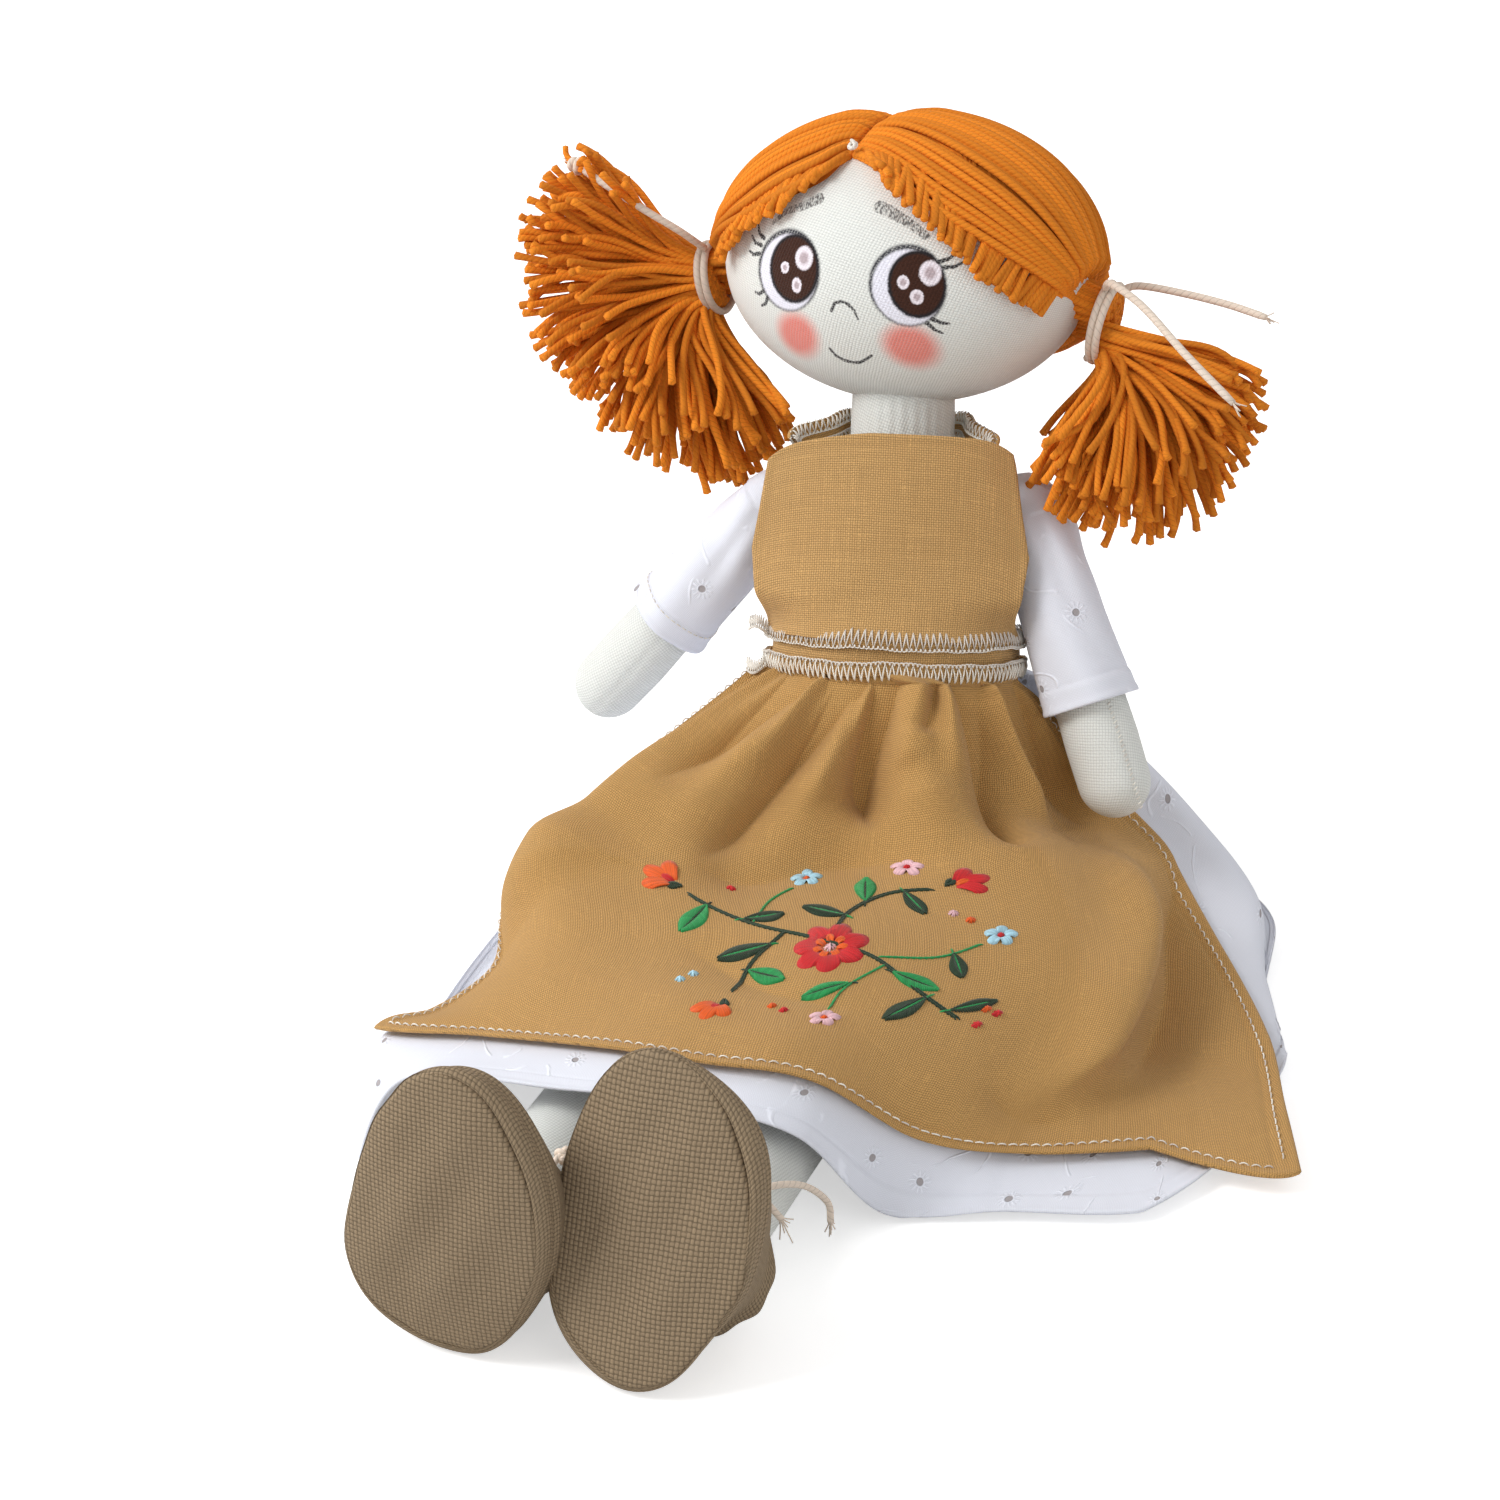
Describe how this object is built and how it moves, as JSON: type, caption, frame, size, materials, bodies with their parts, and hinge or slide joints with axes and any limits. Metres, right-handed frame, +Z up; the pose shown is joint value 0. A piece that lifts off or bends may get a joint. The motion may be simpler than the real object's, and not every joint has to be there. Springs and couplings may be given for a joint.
{
  "type": "rag doll",
  "caption": "Sitting cloth doll with yarn hair in two bunches, a white cotton dress, a linen apron with a bib and soft shoes; hips, shoulders, neck and bunches move.",
  "frame": {"origin": "centre line of the doll on the floor, under the seat", "axes": "+Z up, the doll faces -Y, its left hand is at +X"},
  "size_m": [0.2571, 0.3206, 0.2138],
  "materials": {
    "skin_cloth": "matte",
    "stuffing": "matte",
    "dress_cotton": "matte",
    "apron_linen": "matte",
    "hair_yarn": "matte",
    "twine": "matte",
    "seam_thread": "matte",
    "shoe_burlap": "matte"
  },
  "bodies": {
    "torso": {"torso_skin": "skin_cloth", "torso_stuffing": "stuffing", "dress_bodice": "dress_cotton", "apron_waistband": "apron_linen", "waist_seam_lower": "seam_thread", "waist_seam_upper": "seam_thread", "apron_bib": "apron_linen", "apron_strap_left": "apron_linen", "apron_strap_right": "apron_linen"},
    "lap": {"dress_skirt": "dress_cotton", "apron_skirt": "apron_linen"},
    "leg_left": {"leg_skin_left": "skin_cloth", "leg_stuffing_left": "stuffing", "shoe_sole_left": "shoe_burlap", "shoe_upper_left": "shoe_burlap", "shoe_tie_left": "twine"},
    "leg_right": {"leg_skin_right": "skin_cloth", "leg_stuffing_right": "stuffing", "shoe_sole_right": "shoe_burlap", "shoe_upper_right": "shoe_burlap", "shoe_tie_right": "twine"},
    "neck": {"neck": "skin_cloth"},
    "head": {"head_skin": "skin_cloth", "head_stuffing": "stuffing", "hair_cap_left": "hair_yarn", "hair_cap_right": "hair_yarn", "hair_tie_left": "twine", "hair_tie_right": "twine", "parting_stitch": "seam_thread"},
    "bunch_left": {"bunch_left": "hair_yarn", "tie_end_left_front": "twine", "tie_end_left_back": "twine"},
    "bunch_right": {"bunch_right": "hair_yarn", "tie_end_right": "twine"},
    "arm_left": {"arm_skin_left": "skin_cloth", "arm_stuffing_left": "stuffing", "sleeve_left": "dress_cotton"},
    "arm_right": {"arm_skin_right": "skin_cloth", "arm_stuffing_right": "stuffing", "sleeve_right": "dress_cotton"}
  },
  "joints": [
    {"name": "hip_fold", "type": "hinge", "parent": "torso", "child": "lap", "pos_m": [0, -0.022, 0.017], "axis": [1, 0, 0], "range_deg": [-15, 71], "deforming": ["dress_skirt", "apron_skirt"]},
    {"name": "leg_roll_left", "type": "hinge", "parent": "lap", "child": "leg_left", "pos_m": [0.019, -0.022, 0.017], "axis": [-0.0663, 0.9978, 0], "range_deg": [0, 35], "deforming": ["dress_skirt", "apron_skirt"]},
    {"name": "leg_roll_right", "type": "hinge", "parent": "lap", "child": "leg_right", "pos_m": [-0.019, -0.022, 0.017], "axis": [0.0101, -0.9999, 0], "range_deg": [0, 35], "deforming": ["dress_skirt", "apron_skirt"]},
    {"name": "neck_nod", "type": "hinge", "parent": "torso", "child": "neck", "pos_m": [-0.00664, 0.0403, 0.12495], "axis": [0.9764, 0.2127, 0.0375], "range_deg": [-10, 10]},
    {"name": "head_turn", "type": "hinge", "parent": "neck", "child": "head", "pos_m": [-0.00813, 0.04486, 0.1381], "axis": [-0.107, 0.3256, 0.9394], "range_deg": [-30, 30]},
    {"name": "shoulder_left", "type": "hinge", "parent": "torso", "child": "arm_left", "pos_m": [0.02904, 0.04319, 0.11311], "axis": [-0.4633, -0.8857, 0.0308], "range_deg": [0, 22]},
    {"name": "shoulder_right", "type": "hinge", "parent": "torso", "child": "arm_right", "pos_m": [-0.03765, 0.02866, 0.11054], "axis": [-0.7857, 0.6136, -0.0788], "range_deg": [-22, 22]},
    {"name": "bunch_swing_left", "type": "hinge", "parent": "head", "child": "bunch_left", "pos_m": [0.04495, 0.05879, 0.1728], "axis": [-0.0227, -0.9455, 0.3248], "range_deg": [0, 15]},
    {"name": "bunch_swing_right", "type": "hinge", "parent": "head", "child": "bunch_right", "pos_m": [-0.069, 0.05876, 0.16813], "axis": [0.0227, 0.9455, -0.3248], "range_deg": [0, 15]}
  ]
}
